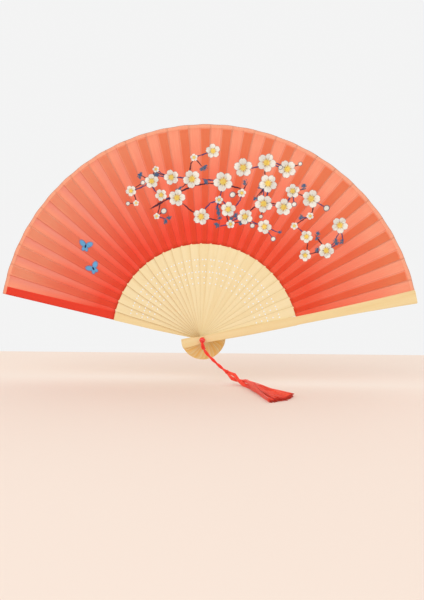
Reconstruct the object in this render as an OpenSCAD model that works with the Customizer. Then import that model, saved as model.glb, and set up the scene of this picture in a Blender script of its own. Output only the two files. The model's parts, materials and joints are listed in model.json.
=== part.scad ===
// Folding hand fan, shown open and upright, in millimetres.
// The sticks turn about a pivot axis along Y, the fan opens in the XZ plane and its front faces -Y.
// The origin is the rear mouth of the hollow rivet that all the sticks turn on.
// Sticks are numbered from the front guard, 0, to the rear guard, rib_count + 1.

/* [Fan] */
// Number of thin ribs between the two guards
rib_count = 25; // [5:1:25]
// Angle between neighbouring sticks when the fan is open, in degrees
stick_step = 5.97; // [4:0.01:6]
// Angle of the front guard above the horizontal, in degrees
front_guard_angle = 11.9; // [0:0.1:30]
// Distance from the pivot to the outer edge of the leaf
leaf_outer_r = 191; // [170:1:220]
// Distance from the pivot to the inner edge of the leaf
leaf_inner_r = 85; // [75:0.5:100]
// Distance from the pivot to the heads of the sticks
head_r = 19; // [16:0.5:21]
// Thickness of the silk
silk_t = 0.15; // [0.1:0.01:0.2]

/* [Ribs] */
// Thickness of a rib
rib_t = 0.7; // [0.6:0.05:1.2]
// Thickness of a rib's slip, the narrow upper part that carries the leaf
slip_t = 0.35; // [0.2:0.05:0.4]
// Angle that a slip covers, in degrees
slip_angle = 2.4; // [1:0.1:3]
// How far a slip ends short of the leaf's outer edge
slip_short = 4; // [1:0.5:10]
// Half width of a rib at the pivot
rib_waist = 3.1; // [2.8:0.1:4]
// Half width of a rib at its shoulder, just below the leaf
rib_shoulder = 4.4; // [3.5:0.1:5]
// Radius of a rib's rounded head
rib_head = 3.5; // [3:0.1:4]
// Diameter of the pierced dots
dot_d = 1.2; // [0.8:0.1:1.5]
// Sideways distance between the paired dots
dot_pair = 2.8; // [2:0.1:4]
// Gap between neighbouring sticks
stick_gap = 0.1; // [0.05:0.01:0.3]

/* [Guards] */
// Thickness of a guard
guard_t = 2; // [1.5:0.1:3]
// Half width of a guard at the pivot
guard_waist = 3.1; // [3:0.1:5]
// Half width of a guard's head
guard_head = 4.2; // [3.5:0.1:6]
// Half width of a guard along its grip
guard_grip = 4; // [3.5:0.1:6]
// Half width of a guard where the leaf begins
guard_neck = 3.7; // [3:0.1:4]
// Half width of the front guard at its tip
guard_tip = 6; // [4:0.1:8]
// Half width of the rear guard under the leaf, which covers it
rear_strip = 3.7; // [2.5:0.1:5]
// How far the rear guard ends short of the leaf's outer edge
rear_short = 3; // [0:0.5:6]
// Depth of the recess that a guard has for the leaf
leaf_recess = 0.4; // [0.3:0.05:0.6]

/* [Pivot] */
// Radius of the rivet's hole, which takes a stand's peg
peg_r = 1.5; // [1:0.1:1.6]
// Outer radius of the rivet
rivet_r = 2; // [1.9:0.05:2.2]
// Running clearance between the rivet and a stick
run_gap = 0.05; // [0.02:0.01:0.1]
// Radius of the rivet's head, behind the rear guard
rivet_head_r = 3.2; // [2.8:0.1:3.4]
// Thickness of the rivet's head
rivet_head_t = 0.5; // [0.3:0.1:0.8]
// Radius of the rivet's flared front end, which the bead hides
flare_r = 2.5; // [2.3:0.1:2.6]
// Thickness of the rivet's flared front end
flare_t = 0.3; // [0.2:0.1:0.4]
// Radius of the washer under the rivet's head
washer_r = 3.9; // [3.5:0.1:4.5]
// Thickness of the washer
washer_t = 0.4; // [0.3:0.1:0.6]
// Radius of the bead in front of the rivet
bead_r = 2.6; // [2:0.1:3.5]

/* [Tassel] */
// Diameter of the tassel's twisted cord
cord_d = 2.4; // [1.8:0.1:2.8]
// Thickness of the tassel's skirt where it lies spread out
skirt_t = 4.5; // [3:0.5:6]

/* [Hidden] */
$fn = 96;
rear_guard = rib_count + 1;
leaf_angle = stick_step;
rib_pitch = rib_t + stick_gap;
// Y of the back face of each stack member, from the rear to the front
rear_guard_y = -(rivet_head_t + washer_t + stick_gap);
last_rib_y = rear_guard_y - guard_t - stick_gap;
front_guard_y = last_rib_y - rib_count * rib_pitch;
flare_y = front_guard_y - guard_t;
rivet_len = flare_t - flare_y;
bore_r = rivet_r + run_gap;
// How much is cut off the corners of the front guard's tip
tip_corner = 0.8;
// The bead stands this far in front of the rivet, with a flat side on it
bead_y = -rivet_len - 0.85 * bead_r;
// Rows of pierced dots: distance from the pivot, and whether the row is a pair
DOT_ROWS = [[50, false], [55, false], [60, true], [65.5, false], [71, true]];
// Centre line of the tassel's cord, from the bead to the tassel's neck
CORD_ROUTE = [
    [0, -28, -1.8], [0.3, -28.7, -4], [1, -29.3, -6.3], [2.1, -29.6, -8.6],
    [3.6, -29.9, -10.7], [5.3, -30.1, -12.7], [7.1, -30.3, -14.6], [9, -30.5, -16.4],
    [10.9, -30.7, -18.2], [12.8, -30.9, -19.9], [14.7, -31.1, -21.6], [16.6, -31.4, -23.2],
    [18.5, -31.8, -24.7], [20.4, -32.3, -26.1], [22.4, -33, -27.4],
];
// Where the tassel lies: its neck, the two lobes of its knotted strands, and the ends of its skirt
TASSEL_LIES_Z = -38;
NECK = [22.8, -33.2, -27.6];
LOBE_1 = [28, -36, -31];
CROSSING = [34, -40, -34];
LOBE_2 = [40, -48, -35];
SKIRT_ENDS = [[80, -97], [75, -115], [62, -127]];

function two(k) = str(k < 10 ? "0" : "", k);
RIBS = [for (k = [1:rib_count]) str("rib_", two(k))];
LEAF = [for (k = [0:rear_guard]) str("leaf_panel_", two(k))];

function stick_angle(k) = front_guard_angle + k * stick_step;
// Y of a stick's back face
function stick_y(k) =
    k == 0 ? front_guard_y
    : k == rear_guard ? rear_guard_y
    : last_rib_y - (rib_count - k) * rib_pitch;
function smooth(t) = t <= 0 ? 0 : t >= 1 ? 1 : t * t * (3 - 2 * t);
function mix_line(a, b, t) = a + (b - a) * t;
function mix(a, b, t) = mix_line(a, b, smooth(t));
// A closed outline from one side's [distance from the pivot, half width] points
function both_sides(side) = concat(
    [for (p = side) [p[0], -p[1]]],
    [for (i = [len(side) - 1:-1:0]) side[i]]
);

shoulder_r = leaf_inner_r - 0.4;
// Half width of a rib between its head and its shoulder
function rib_half(r) = r < 0
    ? mix(rib_waist, rib_head, -r / (head_r - rib_head))
    : mix(rib_waist - 0.1, rib_shoulder, (r - 35) / 42);
rib_side = concat(
    [for (t = [0:1 / 16:1]) let (r = mix_line(rib_head - head_r, shoulder_r, t)) [r, rib_half(r)]],
    // the rounded shoulder, at the leaf's inner edge
    [for (a = [75:-15:0]) let (drop = rib_shoulder - leaf_inner_r * tan(slip_angle / 2))
        [shoulder_r + cos(a), rib_shoulder - drop * (1 - sin(a))]],
    [[leaf_outer_r - slip_short, (leaf_outer_r - slip_short) * tan(slip_angle / 2)]]
);

// Half width of a guard between its head and the leaf
function guard_half(r) = r < 0
    ? mix(guard_waist, guard_head, -r / (head_r - 4))
    : mix(guard_waist, guard_grip, r / 50);
guard_head_end = asin(guard_head / head_r);
grip_side = concat(
    // the head's end follows a circle about the pivot
    [for (a = [0:guard_head_end / 5:guard_head_end + 0.01]) [-head_r * cos(a), head_r * sin(a)]],
    [for (r = [4 - head_r:4:50]) [r, guard_half(r)]],
    [[leaf_inner_r - 1, guard_grip]]
);
front_side = concat(
    grip_side,
    // the guard widens more and more towards its tip
    [for (t = [0:1 / 8:1])
        [mix_line(leaf_inner_r + 1, leaf_outer_r - tip_corner, t), mix_line(guard_neck, guard_tip, t * t)]],
    [[leaf_outer_r, guard_tip - tip_corner]]
);
rear_side = concat(grip_side, [
    [leaf_inner_r + 1, rear_strip], [leaf_outer_r - rear_short, rear_strip]
]);

// Stands an outline up in the fan's plane: its X runs along stick k, its thickness from y towards -Y
module in_fan(k, y, t) {
    translate([0, y, 0]) rotate([0, -stick_angle(k), 0]) rotate([90, 0, 0])
        linear_extrude(height = t) children();
}

module dots_2d() {
    for (row = DOT_ROWS)
        for (side = row[1] ? [-0.5, 0.5] : [0])
            translate([row[0], side * dot_pair]) circle(d = dot_d, $fn = 24);
}

module rib_2d() {
    difference() {
        union() {
            polygon(both_sides(rib_side));
            translate([rib_head - head_r, 0]) circle(r = rib_head);
        }
        circle(r = bore_r);
        dots_2d();
    }
}

// Everything at or beyond the leaf's inner edge
module leaf_zone_2d(margin) {
    translate([leaf_inner_r - margin, -20]) square([leaf_outer_r, 40]);
}

// The slip is thinned from the front, to leave room for the leaf
module rib(k) {
    color("burlywood") difference() {
        in_fan(k, stick_y(k), rib_t) rib_2d();
        in_fan(k, stick_y(k) - slip_t, rib_t) leaf_zone_2d(0.5);
    }
}

// A recess for the leaf is cut in the face towards the ribs
module guard(k, side, recess_y) {
    color("wheat") difference() {
        in_fan(k, stick_y(k), guard_t) difference() {
            polygon(both_sides(side));
            circle(r = bore_r);
        }
        in_fan(k, recess_y, leaf_recess + 1) leaf_zone_2d(0.5);
    }
}

module front_guard() {
    guard(0, front_side, front_guard_y + 1);
}

module rear_guard_stick() {
    guard(rear_guard, rear_side, rear_guard_y - guard_t + leaf_recess);
}

// One stick's share of the leaf, half a step to each side
module leaf_panel_2d(k) {
    far = 2 * leaf_outer_r;
    from = k == 0 ? -asin(guard_tip / leaf_outer_r) : -leaf_angle / 2;
    ray = far * [cos(leaf_angle / 2), sin(leaf_angle / 2)];
    // the last panel ends along the rear guard's edge
    end = k == rear_guard ? [[far, rear_strip], [0, rear_strip]] : [ray];
    intersection() {
        difference() {
            circle(r = leaf_outer_r, $fn = 360);
            circle(r = leaf_inner_r, $fn = 360);
        }
        polygon(concat([[0, 0], far * [cos(from), sin(from)]], end));
    }
}

module leaf_panel(k) {
    y = k == 0 ? front_guard_y - leaf_recess + silk_t
        : k == rear_guard ? rear_guard_y - guard_t + leaf_recess
        : stick_y(k) - slip_t;
    color("coral") in_fan(k, y, silk_t) leaf_panel_2d(k);
}

// A body of revolution about the pivot axis, from y towards -Y
module about_pivot(y) {
    translate([0, y, 0]) rotate([90, 0, 0]) children();
}

module rivet() {
    color("goldenrod") difference() {
        union() {
            about_pivot(0) cylinder(r = rivet_r, h = rivet_len);
            about_pivot(0) cylinder(r = rivet_head_r, h = rivet_head_t);
            about_pivot(flare_y) cylinder(r = flare_r, h = flare_t);
        }
        about_pivot(1) cylinder(r = peg_r, h = rivet_len + 2);
    }
}

module washer() {
    color("gold") about_pivot(-rivet_head_t) difference() {
        cylinder(r = washer_r, h = washer_t);
        translate([0, 0, -1]) cylinder(r = bore_r, h = washer_t + 2);
    }
}

module bead() {
    color("red") difference() {
        translate([0, bead_y, 0]) sphere(r = bead_r);
        translate([-bead_r, -rivet_len, -bead_r]) cube([2 * bead_r, bead_r, 2 * bead_r]);
    }
}

function unit(v) = v / norm(v);
function route_way(path, i) = unit(path[min(i + 1, len(path) - 1)] - path[max(i - 1, 0)]);
// The ring of points about a path's point i; the path never runs along Y, so Y sets each ring's start
function ring(path, i, r, sides) =
    let (way = route_way(path, i), u = unit(cross(way, [0, 1, 0])), v = cross(way, u))
    [for (s = [0:sides - 1]) path[i] + r * (u * cos(360 * s / sides) + v * sin(360 * s / sides))];

module tube(path, d, sides = 8) {
    last = len(path) - 1;
    points = [for (i = [0:last]) each ring(path, i, d / 2, sides)];
    walls = [for (i = [0:last - 1], s = [0:sides - 1]) let (t = (s + 1) % sides)
        [i * sides + s, i * sides + t, (i + 1) * sides + t, (i + 1) * sides + s]];
    ends = [[for (s = [sides - 1:-1:0]) s], [for (s = [0:sides - 1]) last * sides + s]];
    polyhedron(points, concat(ends, walls), convexity = 6);
}

module tassel_cord() {
    color("firebrick") tube(CORD_ROUTE, cord_d);
}

module ball(at, r) {
    translate(at) sphere(r = r, $fn = 16);
}

module tassel() {
    color("red") {
        hull() { ball(NECK, 1.9); ball(LOBE_1, 3); ball(CROSSING, 2.4); }
        hull() { ball(CROSSING, 2.4); ball(LOBE_2, 3); }
        hull() {
            ball(LOBE_2, 3);
            for (p = SKIRT_ENDS)
                translate([p[0], p[1], TASSEL_LIES_Z]) cylinder(r = 2, h = skirt_t, $fn = 16);
        }
    }
}

front_guard();
for (k = [1:rib_count]) rib(k);
rear_guard_stick();  // rear_guard
for (k = [0:rear_guard]) leaf_panel(k);
rivet();
washer();
bead();
tassel_cord();
tassel();
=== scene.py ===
"""A silk folding fan, open and upright, with its bead and tassel.

Lengths are in metres and angles in degrees unless a comment says otherwise. The pivot axis is the Y axis,
the fan opens in the XZ plane and its front faces -Y. Sticks are numbered from the front guard, 0, to the
rear guard.
"""

import json
import math
import random

import bpy
import numpy as np
from mathutils import Matrix, Vector


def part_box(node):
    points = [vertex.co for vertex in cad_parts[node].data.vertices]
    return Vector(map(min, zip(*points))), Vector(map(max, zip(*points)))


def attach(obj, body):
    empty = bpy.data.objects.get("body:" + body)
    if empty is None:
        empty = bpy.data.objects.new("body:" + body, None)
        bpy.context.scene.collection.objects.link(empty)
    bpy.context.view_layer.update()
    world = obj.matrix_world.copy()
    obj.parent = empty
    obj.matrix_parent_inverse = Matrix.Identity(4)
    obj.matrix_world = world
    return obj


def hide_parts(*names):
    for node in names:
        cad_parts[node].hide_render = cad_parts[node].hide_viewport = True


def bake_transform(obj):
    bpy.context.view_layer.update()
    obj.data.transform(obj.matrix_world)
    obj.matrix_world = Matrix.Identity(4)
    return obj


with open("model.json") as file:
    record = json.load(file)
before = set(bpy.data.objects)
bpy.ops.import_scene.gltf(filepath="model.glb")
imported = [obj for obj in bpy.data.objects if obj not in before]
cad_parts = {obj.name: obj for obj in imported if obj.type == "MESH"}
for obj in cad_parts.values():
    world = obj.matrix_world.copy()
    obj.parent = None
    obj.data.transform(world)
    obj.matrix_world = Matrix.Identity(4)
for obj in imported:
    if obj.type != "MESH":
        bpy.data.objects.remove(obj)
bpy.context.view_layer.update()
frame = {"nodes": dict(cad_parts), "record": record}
MM = 0.001

# ------------------------------------------------------------ sizes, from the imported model

STICKS = ["front_guard"] + sorted(n for n in frame["nodes"] if n.startswith("rib_")) + ["rear_guard"]
PANELS = sorted(n for n in frame["nodes"] if n.startswith("leaf_panel_"))
LAST = len(STICKS) - 1


def polar(node):
    """Each vertex's distance from the pivot axis, and its angle above +X in degrees."""
    points = np.array([v.co for v in frame["nodes"][node].data.vertices], float)
    return np.hypot(points[:, 0], points[:, 2]), np.degrees(np.arctan2(points[:, 2], points[:, 0]))


MIDDLE_R, _ = polar(PANELS[LAST // 2])
LEAF_INNER, LEAF_OUTER = MIDDLE_R.min(), MIDDLE_R.max()
STEP = frame["record"]["behaviour"]["joints"][0]["range_deg"][1]
_, FIRST_ANGLES = polar(PANELS[1])
FRONT_ANGLE = (FIRST_ANGLES.min() + FIRST_ANGLES.max()) / 2 - STEP
ANGLE = [FRONT_ANGLE + k * STEP for k in range(LAST + 1)]
LEAF_Y = [sum(f[1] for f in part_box(n)) / 2 for n in PANELS]
FRONT_EDGE = polar(PANELS[0])[1].min() - ANGLE[0]
LAST_R, LAST_ANGLES = polar(PANELS[LAST])
REAR_STRIP = (LAST_R * np.sin(np.radians(LAST_ANGLES - ANGLE[LAST]))).max()
TABLE_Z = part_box("tassel")[0][2]
BEAD_LOW, BEAD_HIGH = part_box("bead")

# ------------------------------------------------------------ camera

CAMERA_AZIMUTH = 4.94
CAMERA_ELEVATION = 6.07
CAMERA_DISTANCE = 0.89
# The sensor's width in millimetres, which only sets the scale of the focal length
SENSOR = 36
# The focal length, and where the pivot lies from the picture's centre, as shares of its long side
FOCAL = 1.647
PIVOT_RIGHT = -0.0138
PIVOT_DOWN = 0.064


def make_camera():
    """Looks from the front, a little above and to the right, with the pivot below the picture's middle."""
    az, el = math.radians(CAMERA_AZIMUTH), math.radians(CAMERA_ELEVATION)
    pivot = Vector((0, sum(f[1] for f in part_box("rivet")) / 2, 0))
    back = Vector((math.sin(az) * math.cos(el), -math.cos(az) * math.cos(el), math.sin(el)))
    data = bpy.data.cameras.new("camera")
    data.sensor_width = SENSOR
    data.lens = SENSOR * FOCAL
    data.clip_start, data.clip_end = 0.01, 20
    cam = bpy.data.objects.new("camera", data)
    bpy.context.collection.objects.link(cam)
    cam.location = pivot + back * CAMERA_DISTANCE
    # turned so that the pivot lands off the middle
    yaw, pitch = math.atan(PIVOT_RIGHT / FOCAL), math.atan(PIVOT_DOWN / FOCAL)
    level = (-back).to_track_quat("-Z", "Y").to_matrix()
    turned = Matrix.Rotation(yaw / math.cos(el), 3, "Z") @ level @ Matrix.Rotation(pitch, 3, "X")
    cam.rotation_mode = "QUATERNION"
    cam.rotation_quaternion = turned.to_quaternion()
    bpy.context.scene.camera = cam


make_camera()

# ------------------------------------------------------------ node helpers


class Nodes:
    """A node tree of a material or a group, with short calls for the nodes that are used here."""

    def __init__(self, name, group=False):
        if group:
            self.tree = bpy.data.node_groups.new(name, "ShaderNodeTree")
        else:
            self.material = bpy.data.materials.new(name)
            self.material.use_nodes = True
            self.tree = self.material.node_tree
            self.tree.nodes.clear()

    def add(self, kind, **settings):
        node = self.tree.nodes.new(kind)
        for key, value in settings.items():
            setattr(node, key, value)
        return node

    def put(self, socket, value):
        """Links a socket, or sets a plain value."""
        if isinstance(value, bpy.types.NodeSocket):
            self.tree.links.new(value, socket)
        elif value is not None:
            if socket.type == "RGBA" and len(value) == 3:
                value = (*value, 1)
            socket.default_value = value

    def attribute(self, name):
        return self.add("ShaderNodeAttribute", attribute_name=name).outputs["Vector"]

    def split(self, vector):
        node = self.add("ShaderNodeSeparateXYZ")
        self.put(node.inputs[0], vector)
        return node.outputs[0], node.outputs[1], node.outputs[2]

    def join(self, x=0.0, y=0.0, z=0.0):
        node = self.add("ShaderNodeCombineXYZ")
        for socket, value in zip(node.inputs, (x, y, z)):
            self.put(socket, value)
        return node.outputs[0]

    def math(self, operation, a, b=None, clamp=False):
        node = self.add("ShaderNodeMath", operation=operation, use_clamp=clamp)
        for socket, value in zip(node.inputs, (a, b)):
            self.put(socket, value)
        return node.outputs[0]

    def vector(self, operation, a, b=None, scale=None):
        node = self.add("ShaderNodeVectorMath", operation=operation)
        self.put(node.inputs[0], a)
        self.put(node.inputs[1], b)
        if scale is not None:
            self.put(node.inputs["Scale"], scale)
        return node.outputs["Value" if operation == "LENGTH" else "Vector"]

    def ramp(self, value, low, high, to_low=0.0, to_high=1.0, smooth=True):
        """value from low..high to to_low..to_high, clamped."""
        node = self.add("ShaderNodeMapRange", interpolation_type="SMOOTHSTEP" if smooth else "LINEAR")
        given = {"Value": value, "From Min": low, "From Max": high, "To Min": to_low, "To Max": to_high}
        for key, v in given.items():
            self.put(node.inputs[key], v)
        return node.outputs["Result"]

    def mix(self, share, a, b):
        """Colour a, or b where share is 1."""
        node = self.add("ShaderNodeMix", data_type="RGBA")
        self.put(node.inputs[0], share)
        self.put(node.inputs[6], a)
        self.put(node.inputs[7], b)
        return node.outputs[2]

    def mapping(self, vector, at=(0, 0, 0), turn=(0, 0, 0), scale=(1, 1, 1), kind="POINT"):
        node = self.add("ShaderNodeMapping", vector_type=kind)
        self.put(node.inputs["Vector"], vector)
        self.put(node.inputs["Location"], at)
        self.put(node.inputs["Rotation"], turn)
        self.put(node.inputs["Scale"], scale)
        return node.outputs["Vector"]

    def noise(self, vector, scale=1.0, detail=3.0, roughness=0.5, output="Fac"):
        node = self.add("ShaderNodeTexNoise")
        self.put(node.inputs["Vector"], vector)
        self.put(node.inputs["Scale"], scale)
        self.put(node.inputs["Detail"], detail)
        self.put(node.inputs["Roughness"], roughness)
        return node.outputs[output]

    def bump(self, height, strength, distance):
        node = self.add("ShaderNodeBump")
        self.put(node.inputs["Height"], height)
        self.put(node.inputs["Strength"], strength)
        self.put(node.inputs["Distance"], distance)
        return node.outputs["Normal"]

    def principled(self, **sockets):
        node = self.add("ShaderNodeBsdfPrincipled")
        for key, value in sockets.items():
            self.put(node.inputs[key.replace("_", " ")], value)
        return node.outputs["BSDF"]

    def shader(self, kind, **sockets):
        node = self.add(kind)
        for key, value in sockets.items():
            self.put(node.inputs[key.replace("_", " ")], value)
        return node.outputs[0]

    def mix_shader(self, share, a, b):
        node = self.add("ShaderNodeMixShader")
        for socket, value in zip(node.inputs, (share, a, b)):
            self.put(socket, value)
        return node.outputs[0]

    def finish(self, shader):
        self.put(self.add("ShaderNodeOutputMaterial").inputs["Surface"], shader)
        return self.material


def srgb(r, g, b):
    """A colour from 0 to 255 as a screen shows it, in the linear values that shaders take."""
    shown = (r / 255, g / 255, b / 255)
    return tuple(c / 12.92 if c <= 0.04045 else ((c + 0.055) / 1.055) ** 2.4 for c in shown)


def share(value, start, end):
    """How far value has come from start to end, from 0 to 1."""
    return min(max((value - start) / (end - start), 0), 1)


def new_object(name, vertices, faces, material, smooth=True):
    """A mesh object, in the scene, with one material."""
    mesh = bpy.data.meshes.new(name)
    mesh.from_pydata([tuple(v) for v in vertices], [], faces)
    mesh.materials.append(material)
    mesh.polygons.foreach_set("use_smooth", [smooth] * len(mesh.polygons))
    mesh.update()
    obj = bpy.data.objects.new(name, mesh)
    bpy.context.collection.objects.link(obj)
    return obj


def point_attribute(obj, name, values):
    """Three numbers for each vertex, which a material reads by name."""
    attribute = obj.data.attributes.new(name, "FLOAT_VECTOR", "POINT")
    attribute.data.foreach_set("vector", np.asarray(values, np.float32).ravel())

# ------------------------------------------------------------ the print, in millimetres from the pivot

# The layout is grown by a rule from this seed. Its region, its count of blossoms and their largest size
# follow the photo broadly, and no mark's place does.
SEED = 1
BARK = srgb(86, 40, 62)
INK = srgb(78, 72, 128)
# The spray's right end, left end and fullest part, as angles
SPRAY_RIGHT, SPRAY_LEFT, SPRAY_MIDDLE = 28, 126, 74
# How far from the pivot its middle line runs, and its half width, which shrinks by a share towards its ends
SPRAY_AWAY, SPRAY_HALF_WIDTH, SPRAY_NARROWS = 138, 36, 0.6
# How many blossoms there are, the largest one's diameter, and the least gap between two
BLOSSOM_COUNT, BLOSSOM_MAX, BLOSSOM_GAP = 33, 19, 0.6
# How much smaller the blossoms are at the spray's ends, and the sizes that they are drawn from
BLOSSOM_LESS = 7
BLOSSOM_SIZES = (1, 1, 1, 0.9, 0.75, 0.42)
# Half the angle of a petal, so that blossoms turn every way
HALF_PETAL = 36
# The bough that runs under the blossoms: where it starts and ends, as angles, and the width of its thin end
BOUGH_FROM, BOUGH_TO, BOUGH_STEP = 112, 76, 6
BOUGH_THIN = 1.0
# How far it starts below the spray's middle line, and how high it waves
BOUGH_BELOW, BOUGH_WAVE = 9, 3
# How far a twig bows sideways at most, as a share of its length
TWIG_BOW = 0.2
# How many butterflies there are, and the least distance between their middles
BUTTERFLY_COUNT, BUTTERFLY_APART = 2, 20


def on_leaf(angle, away):
    """Right and up of a point on the leaf."""
    return away * math.cos(math.radians(angle)), away * math.sin(math.radians(angle))


def scatter_blossoms(chance):
    """Blossoms that don't cover each other, largest in the fullest part: right, up, diameter and turn."""
    blossoms = []
    while len(blossoms) < BLOSSOM_COUNT:
        angle = chance.triangular(SPRAY_RIGHT, SPRAY_LEFT, SPRAY_MIDDLE)
        out = abs(angle - SPRAY_MIDDLE) / (SPRAY_LEFT - SPRAY_MIDDLE)
        aside = SPRAY_HALF_WIDTH * chance.uniform(-1, 1) * (1 - SPRAY_NARROWS * out)
        x, z = on_leaf(angle, SPRAY_AWAY + aside)
        size = (BLOSSOM_MAX - BLOSSOM_LESS * out) * chance.choice(BLOSSOM_SIZES)
        if all(math.dist((x, z), other[:2]) > (size + other[2]) / 2 + BLOSSOM_GAP for other in blossoms):
            blossoms.append((x, z, size, chance.uniform(-HALF_PETAL, HALF_PETAL)))
    return blossoms


def bowed(start, end, bow):
    """Four points from start to end, on a line that bows sideways by a share of its length."""
    (x0, z0), (x1, z1) = start, end
    points = []
    for t in (0, 0.35, 0.7, 1):
        side = bow * math.sin(math.pi * t)
        points.append((x0 + (x1 - x0) * t - side * (z1 - z0), z0 + (z1 - z0) * t + side * (x1 - x0)))
    return points


def join_blossoms(chance, blossoms):
    """A twig from each blossom to the nearest one that is already joined: width, colour and points."""
    twigs = []
    joined, rest = blossoms[:1], blossoms[1:]
    while rest:
        pairs = [(old, new) for old in joined for new in rest]
        old, new = min(pairs, key=lambda pair: math.dist(pair[0][:2], pair[1][:2]))
        points = bowed(old[:2], new[:2], chance.uniform(-TWIG_BOW, TWIG_BOW))
        twigs.append((chance.uniform(0.8, 1.2), chance.choice((BARK, INK)), points))
        joined.append(new)
        rest.remove(new)
    return twigs


def make_bough():
    """A bough that thins towards the right, in short straight lengths."""
    lengths = []
    for angle in range(BOUGH_FROM, BOUGH_TO, -BOUGH_STEP):
        ends = []
        for a in (angle, angle - BOUGH_STEP):
            wave = BOUGH_WAVE * math.sin(math.radians(a * 9))
            ends.append(on_leaf(a, SPRAY_AWAY - BOUGH_BELOW + (BOUGH_FROM - a) * 0.3 + wave))
        lengths.append((BOUGH_THIN + (angle - BOUGH_TO) / 60, BARK, ends))
    return lengths


def loose_twigs(chance, blossoms):
    """Short twigs that leave the blossoms and end in a bud or in one or two small leaves."""
    twigs, buds, sprigs = [], [], []
    for x, z, size, _ in blossoms:
        for _ in range(chance.choice((0, 1, 1, 2))):
            way = chance.uniform(0, 2 * math.pi)
            far = size / 2 + chance.uniform(3, 9)
            tip = (x + far * math.cos(way), z + far * math.sin(way))
            twigs.append((chance.uniform(0.7, 1.0), chance.choice((BARK, INK)), [(x, z), tip]))
            if chance.random() < 0.4:
                buds.append((*tip, chance.uniform(3, 5)))
                continue
            for _ in range(chance.choice((1, 2, 2))):
                length = chance.uniform(3, 5)
                place = (tip[0] + chance.uniform(-3, 3), tip[1] + chance.uniform(-3, 3))
                width = length * chance.uniform(0.55, 0.8)
                sprigs.append((*place, length, width, chance.uniform(0, 180)))
    return twigs, buds, sprigs


def scatter_butterflies(chance):
    """Butterflies on the bare silk left of the spray: right, up, and their turn from facing up."""
    butterflies = []
    while len(butterflies) < BUTTERFLY_COUNT:
        x, z = on_leaf(chance.uniform(SPRAY_LEFT + 8, SPRAY_LEFT + 32), chance.uniform(108, 168))
        if all(math.dist((x, z), other[:2]) > BUTTERFLY_APART for other in butterflies):
            butterflies.append((x, z, chance.uniform(-40, 40)))
    return butterflies


PRINT_CHANCE = random.Random(SEED)
BLOSSOMS = scatter_blossoms(PRINT_CHANCE)
JOINING_TWIGS = join_blossoms(PRINT_CHANCE, BLOSSOMS)
LOOSE_TWIGS, BUDS, SPRIGS = loose_twigs(PRINT_CHANCE, BLOSSOMS)
TWIGS = make_bough() + JOINING_TWIGS + LOOSE_TWIGS
BUTTERFLIES = scatter_butterflies(PRINT_CHANCE)

PETALS = 5
PETAL_WHITE = srgb(252, 250, 242)
PETAL_BASE = srgb(236, 232, 190)
PETAL_LINE = srgb(128, 124, 138)
STAMEN = srgb(255, 234, 124)
STAMEN_DARK = srgb(246, 206, 84)
SPRIG_BLUE = srgb(62, 112, 160)
SPRIG_GREY = srgb(112, 122, 140)
WING = srgb(120, 192, 236)
WING_DARK = srgb(52, 116, 184)
BODY = srgb(16, 40, 92)
# A butterfly's wings: from its middle to theirs, the way they point, their length and width
WINGS = [(3.9, 52, 7.6, 4.8), (3.9, -52, 7.6, 4.8), (2.2, 150, 5, 3.4), (2.2, -150, 5, 3.4)]
# The width of the wings' dark edge, and how far a butterfly reaches from its middle
WING_EDGE, BUTTERFLY_REACH = 0.8, 9


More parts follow.
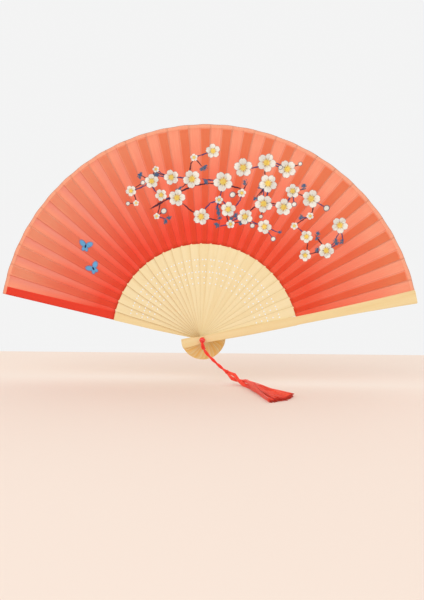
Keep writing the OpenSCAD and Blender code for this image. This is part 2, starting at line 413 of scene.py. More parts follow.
def blossom_group():
    """A node group that draws one five-petalled blossom: its colour, and where it covers the silk."""
    n = Nodes("blossom", group=True)
    for name, kind in (("Point", "Vector"), ("Centre", "Vector"), ("Turn", "Float"), ("Radius", "Float")):
        n.tree.interface.new_socket(name=name, in_out="INPUT", socket_type=f"NodeSocket{kind}")
    for name, kind in (("Colour", "Color"), ("Cover", "Float")):
        n.tree.interface.new_socket(name=name, in_out="OUTPUT", socket_type=f"NodeSocket{kind}")
    given = n.add("NodeGroupInput").outputs
    rotate = n.add("ShaderNodeVectorRotate", rotation_type="Z_AXIS")
    n.put(rotate.inputs["Vector"], n.vector("SUBTRACT", given["Point"], given["Centre"]))
    n.put(rotate.inputs["Angle"], given["Turn"])
    place = n.vector("SCALE", rotate.outputs[0], scale=n.math("DIVIDE", 1.0, given["Radius"]))
    right, up, _ = n.split(place)
    far = n.vector("LENGTH", place)
    angle = n.math("ARCTAN2", right, up)
    # every petal is folded onto one that points along "along"
    sector = 2 * math.pi / PETALS
    shifted = n.math("FLOORED_MODULO", n.math("ADD", angle, sector / 2), sector)
    folded = n.math("SUBTRACT", shifted, sector / 2)
    along = n.math("MULTIPLY", far, n.math("COSINE", folded))
    across = n.math("MULTIPLY", far, n.math("SINE", folded))
    width = n.ramp(along, 0.12, 0.6, 0.17, 0.4)
    oval = n.join(n.math("DIVIDE", n.math("SUBTRACT", along, 0.6), 0.4), n.math("DIVIDE", across, width))
    edge = n.vector("LENGTH", oval)
    notch = n.math("MULTIPLY", n.ramp(along, 0.86, 1.0), n.ramp(n.math("ABSOLUTE", across), 0.1, 0.0))
    edge = n.math("ADD", edge, n.math("MULTIPLY", notch, 0.35))
    petal = n.ramp(edge, 1.1, 1.0)
    colour = n.mix(n.ramp(along, 0.22, 0.55), PETAL_BASE, PETAL_WHITE)
    vein = n.math("MULTIPLY", n.ramp(n.math("ABSOLUTE", across), 0.035, 0.01), n.ramp(along, 0.62, 0.4))
    colour = n.mix(n.math("MULTIPLY", vein, 0.5), colour, PETAL_LINE)
    colour = n.mix(n.ramp(edge, 0.92, 1.02, 0, 0.6), colour, PETAL_LINE)
    stipple = n.ramp(n.noise(given["Point"], 2.4, 2), 0.5, 0.66, 0, 0.35)
    colour = n.mix(n.math("MULTIPLY", stipple, n.ramp(far, 0.95, 0.4)), colour, PETAL_LINE)
    # filaments and the yellow middle
    spoke = n.ramp(n.math("COSINE", n.math("MULTIPLY", angle, 3 * PETALS)), 0.55, 0.9)
    colour = n.mix(n.math("MULTIPLY", spoke, n.ramp(far, 0.5, 0.4, 0, 0.8)), colour, STAMEN_DARK)
    grains = n.noise(given["Point"], 1.6, 2)
    yellow = n.mix(n.ramp(grains, 0.45, 0.65), STAMEN, STAMEN_DARK)
    middle = n.ramp(far, 0.34, 0.27)
    out = n.add("NodeGroupOutput").inputs
    n.put(out["Colour"], n.mix(middle, colour, yellow))
    n.put(out["Cover"], n.math("MAXIMUM", petal, middle))
    return n.tree


BLOSSOM_GROUP = blossom_group()


def near_pleat(k, x, z, size):
    """True if a mark at x, z lies partly on the silk between stick k and the next."""
    far = math.hypot(x, z)
    middle = ANGLE[k] + STEP / 4
    apart = far * math.radians(abs(math.degrees(math.atan2(z, x)) - middle))
    return apart < size + far * math.radians(STEP / 2 + 0.3)


def oval(n, point, x, z, length, width, turn, core=0.8):
    """1 inside an oval and 0 outside it."""
    scale = (length / 2, width / 2, 1)
    place = n.mapping(point, (x, z, 0), (0, 0, math.radians(turn)), scale, "TEXTURE")
    return n.ramp(n.vector("LENGTH", place), 1.12, core)


def butterfly(n, point, colour, x, z, turn):
    """Two raised wings, two lower ones and a dark body, over a colour."""
    def beside(away, toward):
        a = math.radians(90 + turn + toward)
        return x + away * math.cos(a), z + away * math.sin(a)

    for grow, paint in ((WING_EDGE, WING_DARK), (0, WING)):
        for away, toward, length, width in WINGS:
            px, pz = beside(away, toward)
            cover = oval(n, point, px, pz, length + grow, width + grow, 90 + turn + toward, 0.6)
            colour = n.mix(cover, colour, paint)
    return n.mix(oval(n, point, *beside(0.3, 0), 3.4, 1.6, 90 + turn), colour, BODY)


def printed(n, k, point, colour):
    """The marks between stick k and the next, over the silk's own colour, and what they cover."""
    bare = colour
    wobble = n.vector("SUBTRACT", n.noise(point, 0.35, 2, output="Color"), (0.5, 0.5, 0.5))
    drawn = n.vector("ADD", point, n.vector("MULTIPLY", wobble, (1.6, 1.6, 0)))
    ragged = n.vector("SUBTRACT", n.noise(point, 0.8, 1, output="Color"), (0.5, 0.5, 0.5))
    lobed = n.vector("ADD", point, n.vector("MULTIPLY", ragged, (5.0, 5.0, 0)))
    sprig_tint = n.mix(n.ramp(n.noise(point, 0.5, 1), 0.4, 0.6), SPRIG_BLUE, SPRIG_GREY)
    for width, paint, points in TWIGS:
        for (x0, z0), (x1, z1) in zip(points, points[1:]):
            x, z, length = (x0 + x1) / 2, (z0 + z1) / 2, math.hypot(x1 - x0, z1 - z0)
            if near_pleat(k, x, z, length / 2):
                turn = math.degrees(math.atan2(z1 - z0, x1 - x0))
                twig = oval(n, drawn, x, z, length * 1.3, width * 1.15, turn, 0.7)
                colour = n.mix(twig, colour, paint)
    for x, z, length, width, turn in SPRIGS:
        if near_pleat(k, x, z, length / 2):
            colour = n.mix(oval(n, lobed, x, z, length * 1.1, width * 1.1, turn), colour, sprig_tint)
    for x, z, size, turn in BLOSSOMS:
        if near_pleat(k, x, z, size / 2):
            group = n.add("ShaderNodeGroup", node_tree=BLOSSOM_GROUP)
            given = {"Point": point, "Centre": (x, z, 0)}
            given |= {"Turn": math.radians(-turn), "Radius": size / 2}
            for name, value in given.items():
                n.put(group.inputs[name], value)
            colour = n.mix(group.outputs["Cover"], colour, group.outputs["Colour"])
    for x, z, size in BUDS:
        if near_pleat(k, x, z, size / 2):
            colour = n.mix(oval(n, point, x, z, size * 1.3, size * 1.2, 40), colour, PETAL_LINE)
            colour = n.mix(oval(n, point, x, z, size, size * 0.9, 40), colour, PETAL_WHITE)
    for x, z, turn in BUTTERFLIES:
        if near_pleat(k, x, z, BUTTERFLY_REACH):
            colour = butterfly(n, point, colour, x, z, turn)
    changed = n.vector("LENGTH", n.vector("SUBTRACT", colour, bare))
    return colour, n.ramp(changed, 0.02, 0.2)


# ------------------------------------------------------------ silk

SILK_DEEP = srgb(248, 80, 52)
# painted light: the deep silk's paler colour on the right pleats, which face the light
SILK_DEEP_LIT_RIGHT = srgb(248, 104, 70)
SILK_PALE = srgb(254, 182, 148)
# painted shade: the silk's colours over a slip, deep and pale
BAND_SHADE_DEEP = srgb(250, 80, 42)
BAND_SHADE_PALE = srgb(254, 142, 92)
# painted light: a paler sheen on the far side of the left pleats
PALE_LIGHT_PAINTED = srgb(244, 168, 150)
# painted shade in the creases
CREASE_SHADE = srgb(204, 66, 42)
HEM = srgb(254, 190, 156)
# painted shade along the silk's outer edge
HEM_EDGE_SHADE = srgb(196, 140, 118)
# painted shade: the silk over the rear guard
STRIP_SHADE = srgb(252, 72, 46)
# Where the silk turns pale, in millimetres from the pivot, and by how much that wanders
PALE_FROM, PALE_TO = 98, 180
PALE_WANDER = 34.0
# The hem's width, and how far the slips end short of the silk's edge, in millimetres
HEM_WIDTH = 3.0
SLIP_SHORT = 4.0
# A slip's width as an angle
SLIP_ANGLE = 2.4
# Between these angles the painted light changes on the left pleats, and on the right ones
LIGHT_LEFT = (98, 132)
LIGHT_RIGHT = (80, 40)
# The weave's threads, from one to the next, in millimetres
WEAVE_PITCH = 0.42


def silk(k):
    """Sheer coral silk between stick k and the next, with its share of the print.

    The attribute "pleat" holds how far across the pleat a point is, from 0 to 1, its distance from the pivot,
    and how far it is past the next stick's middle line.
    """
    n = Nodes(f"silk_{k:02d}")
    point = n.attribute("print")
    across, away, past = n.split(n.attribute("pleat"))
    outer = LEAF_OUTER / MM
    # pleats further round to the left get a painted paler light, a painted sheen, on their far side
    left = share(ANGLE[k], *LIGHT_LEFT)
    right = share(ANGLE[k], *LIGHT_RIGHT)
    # on the right pleats the deep silk is painted paler: painted light
    deep = tuple(a + (b - a) * right for a, b in zip(SILK_DEEP, SILK_DEEP_LIT_RIGHT))
    wander = n.math("MULTIPLY", n.math("SUBTRACT", n.noise(point, 0.03, 2), 0.5), PALE_WANDER)
    cloudy = n.math("ADD", away, wander)
    fade = n.ramp(cloudy, PALE_FROM, PALE_TO, smooth=False)
    colour = n.mix(fade, deep, SILK_PALE)
    edge = (0.25 - SLIP_ANGLE / 2 / STEP, 0.25 + SLIP_ANGLE / 2 / STEP)
    past_first = n.ramp(across, edge[0] - 0.006, edge[0] + 0.006)
    before_second = n.ramp(across, edge[1] + 0.006, edge[1] - 0.006)
    slip = n.math("MULTIPLY", past_first, before_second)
    slip = n.math("MULTIPLY", slip, n.ramp(away, outer - SLIP_SHORT + 0.3, outer - SLIP_SHORT - 0.3))
    # painted shade: the silk is darker and deeper over a slip, which stops the light from behind, and less so
    # on the left pleats
    slip_shade = n.math("MULTIPLY", slip, 0.9 - 0.55 * left)
    colour = n.mix(slip_shade, colour, n.mix(fade, BAND_SHADE_DEEP, BAND_SHADE_PALE))
    if left:
        # painted light: paler beyond the crease, fading towards the next slip
        pale_light = n.math("MULTIPLY", n.ramp(across, 0.5, 0.53), n.ramp(across, 0.98, 0.56))
        pale_light = n.math("MULTIPLY", pale_light, n.ramp(away, 100, 165, 0.15, 0.85))
        colour = n.mix(n.math("MULTIPLY", pale_light, left), colour, PALE_LIGHT_PAINTED)
    # painted shade along the crease beside a slip, stronger on the left pleats, and fainter along the slip's
    # edge
    fold = n.ramp(n.math("ABSOLUTE", n.math("SUBTRACT", across, 0.5)), 0.022, 0.006)
    colour = n.mix(n.math("MULTIPLY", fold, 0.3 + 0.4 * left), colour, CREASE_SHADE)
    slip_edge_shade = n.ramp(n.math("ABSOLUTE", n.math("SUBTRACT", across, edge[0])), 0.02, 0.006)
    colour = n.mix(n.math("MULTIPLY", slip_edge_shade, 0.18), colour, CREASE_SHADE)
    if k == LAST - 1:
        # the rear guard lies behind the last strip of silk, which is painted deeper there: painted shade
        strip = n.ramp(past, -REAR_STRIP / MM - 0.15, -REAR_STRIP / MM + 0.15)
        under_hem = n.ramp(away, outer - HEM_WIDTH - 0.1, outer - HEM_WIDTH + 0.1, 1, 0)
        slip = n.math("MAXIMUM", slip, n.math("MULTIPLY", strip, under_hem))
        colour = n.mix(strip, colour, STRIP_SHADE)
    # threads run out from the pivot, and vary a little in colour
    stretched = n.join(n.math("MULTIPLY", across, 26.0), n.math("MULTIPLY", away, 0.05), float(k))
    thread = n.noise(stretched, 1.0, 4, 0.6)
    colour = n.mix(n.ramp(thread, 0.3, 0.7, 0.0, 0.16), colour, SILK_DEEP)
    colour, ink = printed(n, k, point, colour)
    hem = n.ramp(away, outer - HEM_WIDTH - 0.25, outer - HEM_WIDTH + 0.25)
    colour = n.mix(n.math("MULTIPLY", hem, 0.85), colour, HEM)
    # painted shade: a darker line along the outer edge
    colour = n.mix(n.ramp(away, outer - 0.5, outer - 0.2, 0, 0.55), colour, HEM_EDGE_SHADE)

    waves = [n.math("SINE", n.math("MULTIPLY", c, 2 * math.pi / WEAVE_PITCH)) for c in n.split(point)[:2]]
    weave = n.math("MULTIPLY", *waves)
    height = n.math("ADD", n.math("MULTIPLY", weave, 0.3), n.math("MULTIPLY", thread, 1.2))
    normal = n.bump(height, 0.35, 0.00012)
    front = n.principled(Base_Color=colour, Roughness=0.55, Specular_IOR_Level=0.3, Sheen_Weight=0.25,
                         Sheen_Roughness=0.35, Normal=normal)
    glow = n.shader("ShaderNodeBsdfTranslucent", Color=colour, Normal=normal)
    clear = n.shader("ShaderNodeBsdfTransparent", Color=srgb(255, 214, 200))
    cloth = n.mix_shader(0.3, front, glow)
    solid = n.math("MAXIMUM", n.math("MAXIMUM", ink, hem), slip)
    return n.finish(n.mix_shader(n.ramp(solid, 0, 1, 0.16, 0.02), cloth, clear))


SILK_THICK = 0.00012
HEM_THICK = 0.0003
QUARTER = STEP / 4
# The outer edge runs nearly straight from stick to stick, this much inside a true arc
EDGE_DIP = 0.0003
# How far the silk drops beside a slip, as a share of the way to the next stick's silk, and over how much
# of the pleat
DROP, DROP_BY = 0.62, 0.12
# Columns of points across a pleat, and rows of points from its inner edge to its hem
PLEAT_AT = (0.03, 0.06, 0.09, DROP_BY, 0.2, 0.3, 0.42, 0.56, 0.7, 0.84, 1.0)
ON_STICK = 6
ROWS = 26


def pleat_columns(k):
    """Across the silk on stick k, its pleat to the next stick, and at the end the strip on the rear guard.

    Each column is its angle from the stick, its depth, its share of the fold, and how far across the strip.
    """
    start = FRONT_EDGE if k == 0 else -QUARTER
    wide = QUARTER - start
    columns = [(start + wide * i / ON_STICK, LEAF_Y[k], 0.0, 0.0) for i in range(ON_STICK + 1)]
    rise = LEAF_Y[k + 1] - LEAF_Y[k]
    for t in PLEAT_AT:
        drop = DROP * min(t / DROP_BY, 1) + (1 - DROP) * max(0, (t - DROP_BY) / (1 - DROP_BY))
        columns.append((QUARTER + t * 2 * QUARTER, LEAF_Y[k] + rise * drop, t, 0.0))
    if k == LAST - 1:
        columns += [(STEP - QUARTER, LEAF_Y[LAST], 1.0, (i + 1) / ON_STICK) for i in range(ON_STICK)]
    return columns


def make_leaf(k):
    """The silk on stick k and its pleat to the next stick, as one creased sheet."""
    columns = pleat_columns(k)
    span = LEAF_OUTER - LEAF_INNER
    hem_from = 1 - HEM_WIDTH * MM / span
    rows = [hem_from * i / ROWS for i in range(ROWS)]
    # close rows where the silk thickens into the hem
    rows += [hem_from - 0.002, hem_from, (1 + hem_from) / 2, 1]
    points, pleat, turning, hem = [], [], [], []
    for angle, y, fold, strip in columns:
        for row in rows:
            outer = LEAF_OUTER - EDGE_DIP * math.sin(math.pi * angle / STEP) ** 2
            away = LEAF_INNER + (outer - LEAF_INNER) * row
            # the last strip ends along the rear guard's edge
            at = angle + strip * (QUARTER + math.degrees(math.asin(REAR_STRIP / away)))
            a = math.radians(ANGLE[k] + at)
            points.append((away * math.cos(a), y, away * math.sin(a)))
            past = away * math.sin(math.radians(at - STEP))
            pleat.append(((at + QUARTER) / STEP, (LEAF_OUTER - outer + away) / MM, past / MM))
            turning.append(fold)
            hem.append(1.0 if row >= hem_from else SILK_THICK / HEM_THICK)
    high = len(rows)
    faces = [
        (c * high + r, c * high + r + 1, (c + 1) * high + r + 1, (c + 1) * high + r)
        for c in range(len(columns) - 1)
        for r in range(high - 1)
    ]
    leaf = new_object(f"leaf_{k:02d}", points, faces, silk(k))
    point_attribute(leaf, "print", [(x / MM, z / MM, 0) for x, _, z in points])
    point_attribute(leaf, "pleat", pleat)
    group = leaf.vertex_groups.new(name="thickness")
    for i, weight in enumerate(hem):
        group.add([i], weight, "REPLACE")
    thicken = leaf.modifiers.new("thickness", "SOLIDIFY")
    thicken.thickness = HEM_THICK
    thicken.offset = 0
    thicken.vertex_group = group.name
    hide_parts(*PANELS[k : LAST + 1 if k == LAST - 1 else k + 1])
    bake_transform(leaf)
    strip = QUARTER + math.degrees(math.asin(REAR_STRIP / LEAF_OUTER)) if k == LAST - 1 else 0


for k in range(LAST):
    make_leaf(k)

# ------------------------------------------------------------ bamboo, brass and the bead


def bamboo(name, angle, light, dark, tone, rim_shade, tail_shade):
    """Split bamboo with its straight fibres along a stick: faint fine streaks, with painted shade along its
    cut edge and on the head's golden end.

    rim_shade and tail_shade are how strongly that painted shade shows on the edge and on the head's end, from
    0 to 1.
    """
    n = Nodes(name)
    along = n.mapping(n.add("ShaderNodeTexCoord").outputs["Object"], turn=(0, math.radians(angle), 0))
    broad = n.noise(n.mapping(along, (tone, 0, 0), scale=(9, 200, 200)), 1.0, 3, 0.5)
    fine = n.noise(n.mapping(along, (0, tone, 0), scale=(26, 1500, 1500)), 1.0, 4, 0.6)
    colour = n.mix(n.ramp(broad, 0.35, 0.75, 0, 0.5), light, dark)
    colour = n.mix(n.ramp(fine, 0.5, 0.78, 0, 0.4), colour, dark)
    # rare brown vessels
    speck = n.noise(n.mapping(along, (tone, tone, 0), scale=(60, 2600, 2600)), 1.0, 1, 0.4)
    colour = n.mix(n.ramp(speck, 0.7, 0.8, 0, 0.3), colour, VESSEL)
    away, _, across = n.split(along)
    upper_half = n.ramp(away, RIB_FROM, RIB_TO, RIB_WAIST, RIB_SHOULDER)
    lower_half = n.ramp(away, 0, -HEAD_FROM, RIB_WAIST, HEAD_R)
    half = n.math("MAXIMUM", upper_half, lower_half)
    # past the head's centre the edge runs round it
    past = n.math("MAXIMUM", n.math("SUBTRACT", -HEAD_FROM, away), 0.0)
    out = n.vector("LENGTH", n.join(past, across))
    # painted shade along the cut edge, where a rib meets the next
    edge = n.ramp(n.math("DIVIDE", out, half), 0.88, 1.0, 0, rim_shade)
    colour = n.mix(edge, colour, RIM_SHADE)
    # painted shade: the head's end below the pivot turns a darker gold
    colour = n.mix(n.ramp(away, TAIL_SHADE_FROM, TAIL_SHADE_TO, 0, tail_shade), colour, TAIL_SHADE)
    height = n.math("ADD", n.math("MULTIPLY", fine, 0.7), n.math("MULTIPLY", broad, 0.5))
    rough = n.ramp(fine, 0.3, 0.8, 0.42, 0.6)
    normal = n.bump(height, 0.2, 0.00015)
    shader = n.principled(Base_Color=colour, Roughness=rough, Specular_IOR_Level=0.35, Coat_Weight=0.08,
                          Coat_Roughness=0.3, Normal=normal)
    return n.finish(shader)


def finish_node(name, material, bevel):
    """A CAD part keeps its shape, with its sharp edges eased a little."""
    obj = frame["nodes"][name]
    obj.data.materials.clear()
    obj.data.materials.append(material)
    weld = obj.modifiers.new("weld", "WELD")
    weld.merge_threshold = 1e-6
    ease = obj.modifiers.new("ease", "BEVEL")
    ease.width = bevel
    ease.segments = 2
    ease.limit_method = "ANGLE"
    ease.angle_limit = math.radians(40)
    ease.harden_normals = False


STRAW = srgb(244, 227, 182)
STRAW_DARK = srgb(237, 213, 158)
GUARD_STRAW = srgb(240, 217, 164)
GUARD_DARK = srgb(233, 200, 134)
# painted shade along the ribs' cut edges
RIM_SHADE = srgb(196, 154, 78)
# painted shade on the heads' ends below the pivot
TAIL_SHADE = srgb(240, 198, 114)
VESSEL = srgb(190, 148, 84)
# A rib's half width grows from its waist to its shoulder between these distances from the pivot
RIB_FROM, RIB_TO = 0.035, 0.077
RIB_WAIST, RIB_SHOULDER = 0.003, 0.0044
# A rib's head is round about a point this far below the pivot
HEAD_FROM, HEAD_R = 0.0155, 0.0035
# The painted shade on the head's golden end grows stronger between these heights, which are below the pivot
TAIL_SHADE_FROM, TAIL_SHADE_TO = -0.002, -0.01
# The painted shade on the cut edges shows least on sticks at this angle, and fully this far from it
FACES_LIGHT, FACES_AWAY = 80, 50
GUARD_BEVEL, RIB_BEVEL = 0.0002, 0.00012


def rib_rim_shade(k):
    """How strongly the painted shade on a rib's cut edges shows: most on the left, where they face away from
    the light.
    """
    strength = min(max(abs(ANGLE[k] - FACES_LIGHT) / FACES_AWAY, 0.15), 0.85)
    return strength if ANGLE[k] > FACES_LIGHT else strength * 0.6


for k, stick in enumerate(STICKS):
    guard = k in (0, LAST)
    colours = (GUARD_STRAW, GUARD_DARK) if guard else (STRAW, STRAW_DARK)
    rim_shade = 0.1 if guard else rib_rim_shade(k)
    # the painted shade on the heads' golden ends differs from rib to rib
    tail_shade = 0 if guard else 0.3 + 0.7 * (k * 3 % 5) / 4
    material = bamboo(f"bamboo_{k:02d}", ANGLE[k], *colours, tone=k * 1.7, rim_shade=rim_shade, tail_shade=tail_shade)
    finish_node(stick, material, GUARD_BEVEL if guard else RIB_BEVEL)


def brass():
    """Worn brass with a light tarnish and fine scratches."""
    n = Nodes("brass")
    place = n.add("ShaderNodeTexCoord").outputs["Object"]
    tarnish = n.noise(place, 420, 4, 0.6)
    scratch = n.noise(n.mapping(place, scale=(200, 3000, 200)), 1.0, 3, 0.5)
    colour = n.mix(n.ramp(tarnish, 0.4, 0.75), srgb(226, 186, 104), srgb(168, 124, 58))
    rough = n.ramp(scratch, 0.3, 0.7, 0.22, 0.42)
    normal = n.bump(scratch, 0.15, 0.0001)
    return n.finish(n.principled(Base_Color=colour, Metallic=1.0, Roughness=rough, Normal=normal))


BRASS = brass()
finish_node("rivet", BRASS, 0.00012)
finish_node("washer", BRASS, 0.0001)


def red_glaze():
    """Glossy red with a faint swirl."""
    n = Nodes("red_glaze")
    place = n.add("ShaderNodeTexCoord").outputs["Object"]
    swirl = n.noise(n.mapping(place, scale=(300, 300, 700)), 1.0, 3, 0.5)
    colour = n.mix(n.ramp(swirl, 0.35, 0.7), srgb(246, 36, 24), srgb(220, 18, 14))
    rough = n.ramp(n.noise(place, 900, 2), 0.4, 0.7, 0.16, 0.28)
    normal = n.bump(swirl, 0.08, 0.0001)
    shader = n.principled(Base_Color=colour, Roughness=rough, Specular_IOR_Level=0.6, Coat_Weight=0.6,
                          Coat_Roughness=0.08, Normal=normal)
    return n.finish(shader)


# The bead's hole, as half an angle, and its lip: how far in and how far down, as shares
BEAD_HOLE = 22
BEAD_LIP = ((0.85, 0.03), (0.68, 0.12), (0.62, 0.3))
BEAD_TURNS = 40


def make_bead():
    """A turned bead: round, sunk at both ends of its hole, with a flat side against the rivet."""
    middle = (BEAD_LOW + BEAD_HIGH) / 2
    radius = (BEAD_HIGH.x - BEAD_LOW.x) / 2
    centre_y = BEAD_LOW.y + radius
    hole = math.radians(BEAD_HOLE)
    side = [(radius * math.sin(a), -radius * math.cos(a)) for a in np.linspace(hole, math.pi - hole, 25)]
    top_r, top_z = side[-1]
    lip = [(top_r * inward, top_z - radius * down) for inward, down in BEAD_LIP]
    low_lip = [(r, -z) for r, z in reversed(lip)]
    profile = low_lip + side + lip
    turns = BEAD_TURNS
    points, faces = [], []
    for t in range(turns):
        a = 2 * math.pi * t / turns
        for r, z in profile:
            y = min(centre_y + r * math.cos(a), BEAD_HIGH.y)
            points.append((middle.x + r * math.sin(a), y, middle.z + z))
    count = len(profile)
    for t in range(turns):
        u = (t + 1) % turns
        for i in range(count - 1):
            faces.append((t * count + i, t * count + i + 1, u * count + i + 1, u * count + i))
    for end in (0, count - 1):
        loop = [t * count + end for t in range(turns)]
        faces.append(loop if end else loop[::-1])
    bead = new_object("bead_turned", points, faces, red_glaze())
    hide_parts("bead")
    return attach(bead, "front_guard")


make_bead()

# ------------------------------------------------------------ cord and tassel


def mm_points(*rows):
    """Points given in millimetres."""
    return [Vector(row) * MM for row in rows]


# The cord's centre line, from the bead to the tassel's neck, chosen as in the CAD
CORD_ROUTE = mm_points(
    (0, -28, -1.8), (0.3, -28.7, -4), (1, -29.3, -6.3), (2.1, -29.6, -8.6), (3.6, -29.9, -10.7),
    (5.3, -30.1, -12.7), (7.1, -30.3, -14.6), (9, -30.5, -16.4), (10.9, -30.7, -18.2),
    (12.8, -30.9, -19.9), (14.7, -31.1, -21.6), (16.6, -31.4, -23.2), (18.5, -31.8, -24.7),
    (20.4, -32.3, -26.1), (22.4, -33, -27.4),
)
# On through the tassel's head into its skirt
LOBE_1, CROSSING, LOBE_2, INNER_END = mm_points(
    (28, -36, -31), (34, -40, -34), (40, -48, -35), (52.5, -73, -35.5)
)
SKIRT_TIPS = mm_points((80, -97, -35.8), (75, -115, -36.2), (62, -127, -36.4))
STRAND_R = 0.78 * MM
STRAND_PITCH = 16 * MM
THREAD_TIP = srgb(150, 24, 16)


def curve_through(points, per_span=6):
    """A smooth line through points, as a Catmull-Rom spline."""
    points = [np.array(p, float) for p in points]
    padded = [2 * points[0] - points[1]] + points + [2 * points[-1] - points[-2]]
    line = []
    for a, b, c, d in zip(padded, padded[1:], padded[2:], padded[3:]):
        for t in np.arange(per_span) / per_span:
            bent = (2 * a - 5 * b + 4 * c - d) * t**2
            twisted = (3 * b - a - 3 * c + d) * t**3
            line.append(0.5 * (2 * b + (c - a) * t + bent + twisted))
    return np.array(line + [points[-1]])


def lengths_along(line):
    """How far along a line each of its points lies."""
    return np.concatenate([[0], np.cumsum(np.linalg.norm(np.diff(line, axis=0), axis=1))])


def unit(v):
    return v / np.linalg.norm(v, axis=-1, keepdims=True)


def side_axes(line):
    """At each point of a line, the way across it in the fan's plane, and the way square to both."""
    way = unit(np.gradient(line, axis=0))
    across = unit(np.cross(way, (0, 1, 0)))
    return across, np.cross(way, across)


class Tubes:
    """Gathers round strands into one mesh, with how far along its strand each point lies."""

    def __init__(self):
        self.points, self.faces, self.strand = [], [], []

    def add(self, line, radius, sides, tone=0.0):
        line = np.asarray(line, float)
        radius = np.broadcast_to(radius, len(line))
        way = unit(np.gradient(line, axis=0))
        first = unit(np.cross(way[0], (0.3, 1, 0.2)))
        along = lengths_along(line) / MM
        start = len(self.points)
        for p, w, r, s in zip(line, way, radius, along):
            first = unit(first - w * (first @ w))
            second = np.cross(w, first)
            for i in range(sides):
                a = 2 * math.pi * i / sides
                self.points.append(p + r * (first * math.cos(a) + second * math.sin(a)))
                self.strand.append((s, s / along[-1], tone))
        last = start + (len(line) - 1) * sides
        for row in range(start, last, sides):
            for i in range(sides):
                j = (i + 1) % sides
                self.faces.append((row + i, row + j, row + sides + j, row + sides + i))
        self.faces.append(tuple(range(start + sides - 1, start - 1, -1)))
        self.faces.append(tuple(range(last, last + sides)))

    def build(self, name, material):
        obj = new_object(name, self.points, self.faces, material)
        point_attribute(obj, "strand", self.strand)
        return obj


def thread_silk(name, bright, dark, ply):
    """Red floss. "strand" holds the distance along a strand, its share of the whole, and a tone."""
    n = Nodes(name)
    along, part, tone = n.split(n.attribute("strand"))
    place = n.add("ShaderNodeTexCoord").outputs["Object"]
    fine = n.noise(place, 2600, 3, 0.6)
    lay = n.math("SINE", n.math("ADD", n.math("MULTIPLY", along, ply), n.math("MULTIPLY", fine, 3.0)))
    # painted shade: darker in the twist's grooves along each strand, over each thread's own tone
    groove_shade = n.math("MULTIPLY", n.ramp(lay, -1, 1), 0.3)
    tone_and_groove_shade = n.math("ADD", n.math("MULTIPLY", tone, 0.7), groove_shade, clamp=True)
    colour = n.mix(tone_and_groove_shade, dark, bright)
    # the cut tips are darker
    colour = n.mix(n.ramp(part, 0.975, 1.0, 0, 0.5), colour, THREAD_TIP)
    height = n.math("ADD", lay, n.math("MULTIPLY", fine, 0.8))
    normal = n.bump(height, 0.35, 0.0001)
    shader = n.principled(Base_Color=colour, Roughness=0.42, Specular_IOR_Level=0.45, Sheen_Weight=0.3,
                          Sheen_Roughness=0.3, Normal=normal)
    return n.finish(shader)


CORD_LINE = curve_through(CORD_ROUTE + [LOBE_1, CROSSING, LOBE_2, INNER_END])
CORD_ALONG = lengths_along(CORD_LINE)


def along_at(point):
    """How far along the cord's centre line a point of its route lies."""
    return CORD_ALONG[np.linalg.norm(CORD_LINE - np.array(point), axis=1).argmin()]


NECK_AT = along_at(CORD_ROUTE[-1])
LOBE_1_AT = along_at(LOBE_1)
CROSSING_AT = along_at(CROSSING)
LOBE_2_AT = along_at(LOBE_2)
# Along the tassel's head: half the distance between its two bundles, how far they have turned round each
# other, and how thick they are, in millimetres
HEAD_AT = [0, NECK_AT, LOBE_1_AT, CROSSING_AT, LOBE_2_AT, CORD_ALONG[-1]]
HEAD_APART = [0.6 * MM, 0.6 * MM, 1.9 * MM, 1.2 * MM, 2.0 * MM, 0.7 * MM]
HEAD_TURN = [0, 0, 0, 90, 180, 200]
HEAD_SWELL = [0.4, 0.6, 1.45, 1.25, 1.6, 1.2]


def bundle_centres(line, at, which):
    """The line that strand or bundle "which", 0 or 1, takes about a centre line."""
    across, toward = side_axes(line)
    apart = np.interp(at, HEAD_AT, HEAD_APART)
    turn = np.radians(np.interp(at, HEAD_AT, HEAD_TURN)) + math.pi * which
    # above the neck the strands are twisted
    turn = turn + np.minimum(at - NECK_AT, 0) / STRAND_PITCH * 2 * math.pi
    return line + apart[:, None] * (across * np.cos(turn)[:, None] + toward * np.sin(turn)[:, None])


def wrap(tubes, at, turns, radius, thick, tone):
    """A few turns of thread round the cord."""
    i = int(np.searchsorted(CORD_ALONG, at))
    across, toward = (a[i] for a in side_axes(CORD_LINE))
    way = np.cross(across, toward)
    a = np.linspace(0, 2 * math.pi * turns, 14 * turns)[:, None]
    round_it = radius * (across * np.cos(a) + toward * np.sin(a))
    helix = CORD_LINE[i] + round_it + way * thick * (a / math.pi - turns)
    tubes.add(helix, thick, 6, tone)


# Rings of points along each strand
CORD_RINGS = 260


def make_cord():
    """Two strands twisted round each other, with a few turns of thread under the bead."""
    tubes = Tubes()
    count = len(CORD_LINE)
    fine = np.interp(np.linspace(0, 1, CORD_RINGS), np.linspace(0, 1, count), range(count))
    line = np.stack([np.interp(fine, range(count), CORD_LINE[:, c]) for c in range(3)], axis=1)
    at = lengths_along(line)
    for which in (0, 1):
        tubes.add(bundle_centres(line, at, which), STRAND_R, 10, 0.55 + 0.25 * which)
    wrap(tubes, 4.5 * MM, 3, 1.35 * MM, 0.5 * MM, 0.6)
    cord = tubes.build("cord", thread_silk("cord_silk", srgb(255, 60, 34), srgb(236, 34, 20), 5.2))
    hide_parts("tassel_cord")
    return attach(cord, "front_guard")


THREADS = 190
THREAD_R = 0.3 * MM
SEED_THREADS = 7
# Each bundle's threads mostly end about its own place along the slanted line of tips, and the rest anywhere
BUNDLE_TIP, BUNDLE_STEP, BUNDLE_SPREAD = 0.27, 0.46, 0.24
KEEPS_TO_BUNDLE = 0.7
SKIRT_HIGH = 2.6 * MM
SKIRT_SAG = 1.2 * MM
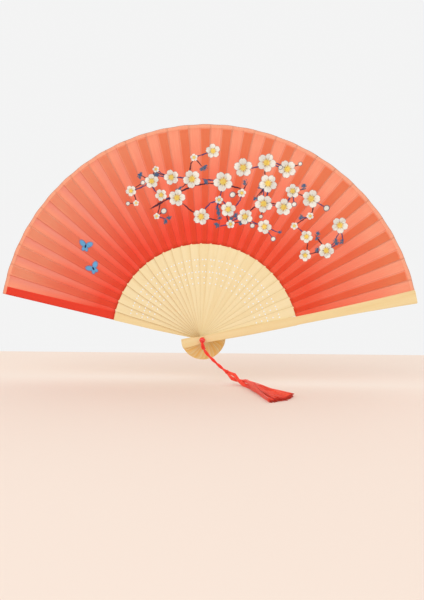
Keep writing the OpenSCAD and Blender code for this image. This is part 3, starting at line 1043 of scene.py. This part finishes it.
# How far a thread's two middle points lie towards its tip, and how much they stray
BOWS = ((0.3, 0.6), (0.62, 0.9))


def tip_on_line(tips, at):
    """The point at a share of the way along the bent line of tips."""
    if at < 0.5:
        return tips[0] + (tips[1] - tips[0]) * at * 2
    return tips[1] + (tips[2] - tips[1]) * (at * 2 - 1)


def make_tassel():
    """Two bundles of floss that cross once, then spread into a loose skirt on the table."""
    chance = random.Random(SEED_THREADS)
    tubes = Tubes()
    in_head = (CORD_ALONG >= NECK_AT - 1e-6) & (CORD_ALONG <= LOBE_2_AT + 1e-6)
    head = CORD_LINE[in_head]
    head_at = CORD_ALONG[in_head]
    across, toward = side_axes(head)
    centres = [bundle_centres(head, head_at, which) for which in (0, 1)]
    swell = np.interp(head_at, HEAD_AT, HEAD_SWELL)[:, None] * MM
    tips = [np.array(p) for p in SKIRT_TIPS]
    for i in range(THREADS):
        which = i % 2
        a, r = chance.uniform(0, 2 * math.pi), math.sqrt(chance.random())
        off = r * swell * (across * math.cos(a) + toward * math.sin(a))
        start = centres[which] + off
        # where this thread ends along the slanted tip line, and how high in the skirt it lies
        if chance.random() < KEEPS_TO_BUNDLE:
            ends_at = min(max(chance.gauss(BUNDLE_TIP + BUNDLE_STEP * which, BUNDLE_SPREAD), 0), 1)
        else:
            ends_at = chance.random()
        tip = tip_on_line(tips, ends_at)
        lift = chance.random() ** 1.6
        tip = tip + np.array((chance.gauss(0, 0.5), chance.gauss(0, 1.2), 0)) * MM
        ground = TABLE_Z + THREAD_R + lift * SKIRT_HIGH
        tip[2] = ground
        last = start[-1]
        mids = []
        for t, bow in BOWS:
            m = last + (tip - last) * t
            height = max(last[2] + (ground - last[2]) * min(1, t * 1.5), TABLE_Z + THREAD_R)
            m[2] = height + lift * SKIRT_SAG * (1 - t)
            m[:2] += np.array((chance.gauss(0, 0.5), chance.gauss(0, 0.5))) * MM * bow
            mids.append(m)
        line = np.concatenate([start[:-1], curve_through([last, *mids, tip], 5)])
        line[:, 2] = np.maximum(line[:, 2], TABLE_Z + THREAD_R)
        tubes.add(line, THREAD_R * chance.uniform(0.8, 1.15), 5, chance.random())
    wrap(tubes, NECK_AT - 0.4 * MM, 3, 1.5 * MM, 0.35 * MM, 0.3)
    material = thread_silk("tassel_silk", srgb(255, 92, 54), srgb(246, 40, 22), 1.3)
    tassel = tubes.build("tassel_skirt", material)
    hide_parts("tassel")
    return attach(tassel, "front_guard")


cord_piece = make_cord()
tassel_piece = make_tassel()

# ------------------------------------------------------------ table, light and background

# Where the table ends behind the fan, and how far it reaches the other ways
TABLE_FAR = 0.19
TABLE_REACH = 6
PEACH = srgb(236, 219, 206)
PEACH_DARK = srgb(233, 213, 198)


def make_table():
    """A pale table top that ends behind the fan."""
    n = Nodes("table_cloth")
    place = n.add("ShaderNodeTexCoord").outputs["Object"]
    cloud = n.noise(place, 2.2, 2)
    weave = n.noise(place, 1800, 2)
    colour = n.mix(n.ramp(cloud, 0.3, 0.7, 0, 0.2), PEACH, PEACH_DARK)
    normal = n.bump(weave, 0.1, 0.0001)
    shader = n.principled(Base_Color=colour, Roughness=0.9, Specular_IOR_Level=0.1, Normal=normal)
    near, far = -TABLE_REACH, TABLE_FAR
    corners = [(near, near, TABLE_Z), (-near, near, TABLE_Z), (-near, far, TABLE_Z), (near, far, TABLE_Z)]
    new_object("table", corners, [(0, 1, 2, 3)], n.finish(shader), smooth=False)


# The lights all aim at one point above the pivot
AIM = Vector((0, 0, 0.08))
# Soft lights: name, place, size and power in watts
LIGHTS = [
    ("key", (-0.9, -1.5, 1.5), 2.0, 11),
    ("fill", (1.2, -1.4, 0.5), 1.6, 3),
    ("back", (0.3, 1.3, 1.5), 1.8, 7),
]


def make_light():
    """A pale even background and three soft lights."""
    world = bpy.data.worlds.new("studio")
    world.use_nodes = True
    background = world.node_tree.nodes["Background"]
    background.inputs["Color"].default_value = (0.9, 0.9, 0.9, 1)
    background.inputs["Strength"].default_value = 1.0
    bpy.context.scene.world = world
    for name, place, size, power in LIGHTS:
        data = bpy.data.lights.new(name, "AREA")
        data.size = size
        data.energy = power
        lamp = bpy.data.objects.new(name, data)
        lamp.location = place
        lamp.rotation_mode = "QUATERNION"
        lamp.rotation_quaternion = (AIM - lamp.location).to_track_quat("-Z", "Y")
        bpy.context.collection.objects.link(lamp)
    bpy.context.scene.view_settings.view_transform = "Standard"


make_table()
make_light()
